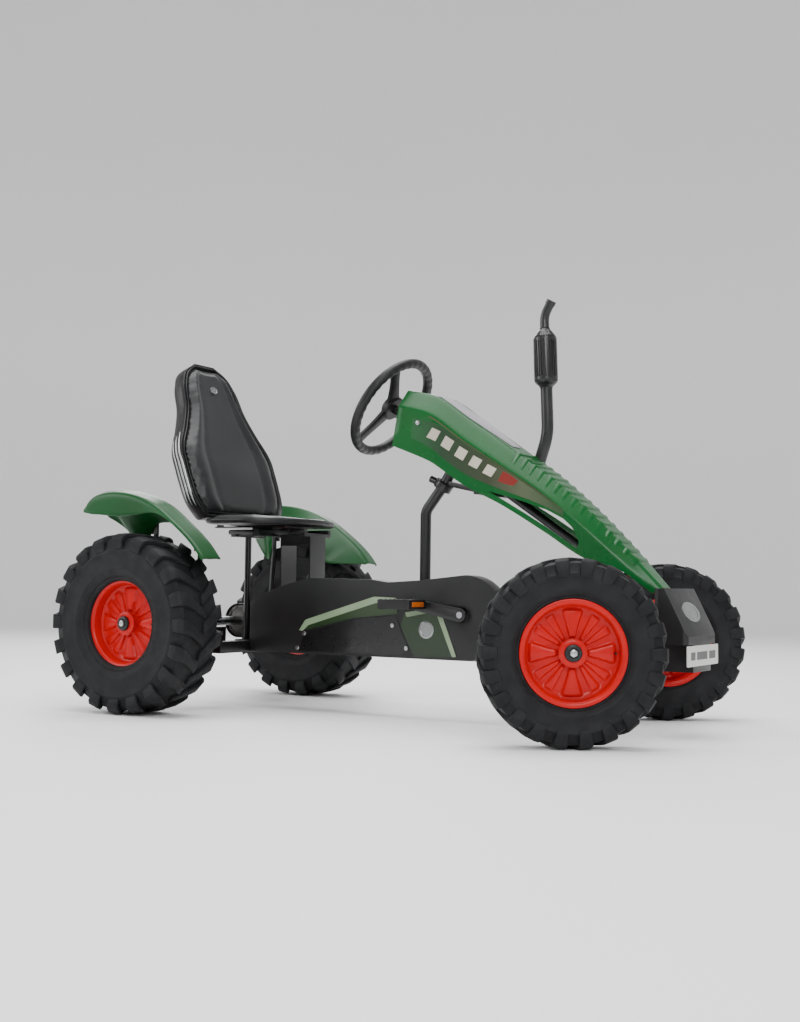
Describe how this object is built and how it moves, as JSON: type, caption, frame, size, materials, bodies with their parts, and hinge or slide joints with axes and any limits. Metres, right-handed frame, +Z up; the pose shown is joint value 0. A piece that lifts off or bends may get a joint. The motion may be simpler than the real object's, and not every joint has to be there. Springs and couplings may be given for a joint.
{
  "type": "pedal go kart",
  "caption": "Tractor-style pedal go kart with sloping hood, upright exhaust, farm tyres, chain drive, swinging front axle and sliding bucket seat.",
  "frame": {"origin": "on the floor, at the middle of the kart's overall length and width with the front wheels turned 32 degrees left as stored", "axes": "+X forward, +Y to the driver's left, +Z up"},
  "size_m": [1.6225, 0.9842, 1.0618],
  "materials": {
    "frame_black": "black powder coat, fine texture",
    "steel": "bright zinc-plated steel",
    "chain_steel": "oiled dark steel",
    "hood_green": "glossy moulded green",
    "inlay_grey": "pale grey satin panel",
    "black_plastic": "grained black plastic",
    "stack_black": "satin black plastic",
    "plate_white": "white plate",
    "badge_silver": "silver disc",
    "panel_green": "printed green panel",
    "seat_black": "black padded vinyl",
    "rim_red": "bright red gloss paint",
    "tyre_rubber": "black farm tyre rubber",
    "bearing_steel": "polished bearing steel",
    "bush_nylon": "white nylon"
  },
  "bodies": {
    "chassis": {"main_frame": "frame_black", "rear_frame": "frame_black", "bearing_housings": "frame_black", "axle_bearings": "bearing_steel", "crank_bearings": "bearing_steel", "steering_post": "frame_black", "column_bushes": "bush_nylon", "swing_bolt": "steel", "hood": "hood_green", "hood_inlay": "inlay_grey", "dash_panel": "black_plastic", "hood_bracket": "frame_black", "exhaust_stack": "stack_black", "front_bumper": "black_plastic", "number_plate": "plate_white", "badges": "badge_silver", "fender_left": "hood_green", "fender_right": "hood_green", "fender_brackets": "frame_black", "fender_bolts": "steel", "chain_guard_right": "black_plastic", "chain_guard_left": "black_plastic", "guard_panel": "panel_green", "cover_screws": "steel", "chains": "chain_steel", "seat_rail": "frame_black"},
    "seat": {"seat_frame": "frame_black", "seat_pan": "seat_black", "seat_back": "seat_black"},
    "lever": {"seat_lever": "black_plastic"},
    "crank": {"crank_spindle": "steel", "chainring": "chain_steel", "crank_arm_left": "frame_black", "crank_arm_right": "frame_black"},
    "pedal_left_body": {"pedal_left": "black_plastic"},
    "pedal_right_body": {"pedal_right": "black_plastic"},
    "hub": {"gear_hub": "steel", "hub_sprockets": "chain_steel"},
    "rear_drive": {"rear_axle": "steel", "axle_sprocket": "chain_steel", "axle_end_caps": "black_plastic", "rear_rim_right": "rim_red", "rear_tyre_right": "tyre_rubber"},
    "rear_wheel_left": {"rear_rim_left": "rim_red", "rear_tyre_left": "tyre_rubber"},
    "steering": {"steering_column": "frame_black", "steering_wheel": "black_plastic", "wheel_hub_cap": "black_plastic"},
    "front_axle": {"front_axle_beam": "frame_black", "kingpins": "steel"},
    "steer_left": {"knuckle_left": "frame_black", "stub_nut_left": "black_plastic"},
    "steer_right": {"knuckle_right": "frame_black", "stub_nut_right": "black_plastic"},
    "front_wheel_left": {"front_rim_left": "rim_red", "front_tyre_left": "tyre_rubber"},
    "front_wheel_right": {"front_rim_right": "rim_red", "front_tyre_right": "tyre_rubber"},
    "track_rod_left": {"tie_rod_left": "frame_black"},
    "track_rod_right": {"tie_rod_right": "frame_black"}
  },
  "joints": [
    {"name": "seat_slide", "type": "slide", "parent": "chassis", "child": "seat", "axis": [1, 0, 0], "range_m": [-0.045, 0.08]},
    {"name": "lever_push", "type": "hinge", "parent": "seat", "child": "lever", "pos_m": [-0.42125, -0.074, 0.476], "axis": [0, 1, 0], "range_deg": [0, 20]},
    {"name": "rear_axle_spin", "type": "hinge", "parent": "chassis", "child": "rear_drive", "pos_m": [-0.58125, 0, 0.23], "axis": [0, 1, 0], "continuous": true},
    {"name": "rear_left_wheel_spin", "type": "hinge", "parent": "rear_drive", "child": "rear_wheel_left", "pos_m": [-0.58125, 0.378, 0.23], "axis": [0, 1, 0], "continuous": true},
    {"name": "hub_spin", "type": "hinge", "parent": "chassis", "child": "hub", "pos_m": [-0.20125, 0, 0.23], "axis": [0, 1, 0], "continuous": true},
    {"name": "crank_spin", "type": "hinge", "parent": "chassis", "child": "crank", "pos_m": [0.20875, 0, 0.265], "axis": [0, 1, 0], "continuous": true},
    {"name": "pedal_left_spin", "type": "hinge", "parent": "crank", "child": "pedal_left_body", "pos_m": [0.34662, 0.138, 0.24069], "axis": [0, 1, 0], "continuous": true},
    {"name": "pedal_right_spin", "type": "hinge", "parent": "crank", "child": "pedal_right_body", "pos_m": [0.07087, -0.138, 0.28931], "axis": [0, 1, 0], "continuous": true},
    {"name": "steering_turn", "type": "hinge", "parent": "chassis", "child": "steering", "pos_m": [-0.05025, 0, 0.802], "axis": [-0.8254, 0, 0.5646], "range_deg": [-68, 4]},
    {"name": "front_axle_swing", "type": "hinge", "parent": "chassis", "child": "front_axle", "pos_m": [0.59675, 0, 0.245], "axis": [1, 0, 0], "range_deg": [-5, 5]},
    {"name": "steer_left_turn", "type": "hinge", "parent": "front_axle", "child": "steer_left", "pos_m": [0.59675, 0.31, 0.2], "axis": [0, 0, 1], "range_deg": [-68, 4]},
    {"name": "steer_right_turn", "type": "hinge", "parent": "front_axle", "child": "steer_right", "pos_m": [0.59675, -0.31, 0.2], "axis": [0, 0, 1], "range_deg": [-68, 4]},
    {"name": "front_left_wheel_spin", "type": "hinge", "parent": "steer_left", "child": "front_wheel_left", "pos_m": [0.57025, 0.3524, 0.2], "axis": [-0.5299, 0.848, 0], "continuous": true},
    {"name": "front_right_wheel_spin", "type": "hinge", "parent": "steer_right", "child": "front_wheel_right", "pos_m": [0.62324, -0.3524, 0.2], "axis": [-0.5299, 0.848, 0], "continuous": true},
    {"name": "track_rod_left_turn", "type": "hinge", "parent": "steer_left", "child": "track_rod_left", "pos_m": [0.54163, 0.27555, 0.252], "axis": [0, 0, 1], "range_deg": [-4, 68]},
    {"name": "track_rod_right_turn", "type": "hinge", "parent": "steer_right", "child": "track_rod_right", "pos_m": [0.54163, -0.34445, 0.252], "axis": [0, 0, 1], "range_deg": [-4, 68]}
  ],
  "couplings": [
    {"joint": "hub_spin", "follows": "rear_axle_spin", "ratio": 1.25},
    {"joint": "crank_spin", "follows": "rear_axle_spin", "ratio": 0.5625},
    {"joint": "steer_left_turn", "follows": "steering_turn", "ratio": 1},
    {"joint": "steer_right_turn", "follows": "steering_turn", "ratio": 1},
    {"joint": "track_rod_left_turn", "follows": "steering_turn", "ratio": -1},
    {"joint": "track_rod_right_turn", "follows": "steering_turn", "ratio": -1}
  ]
}
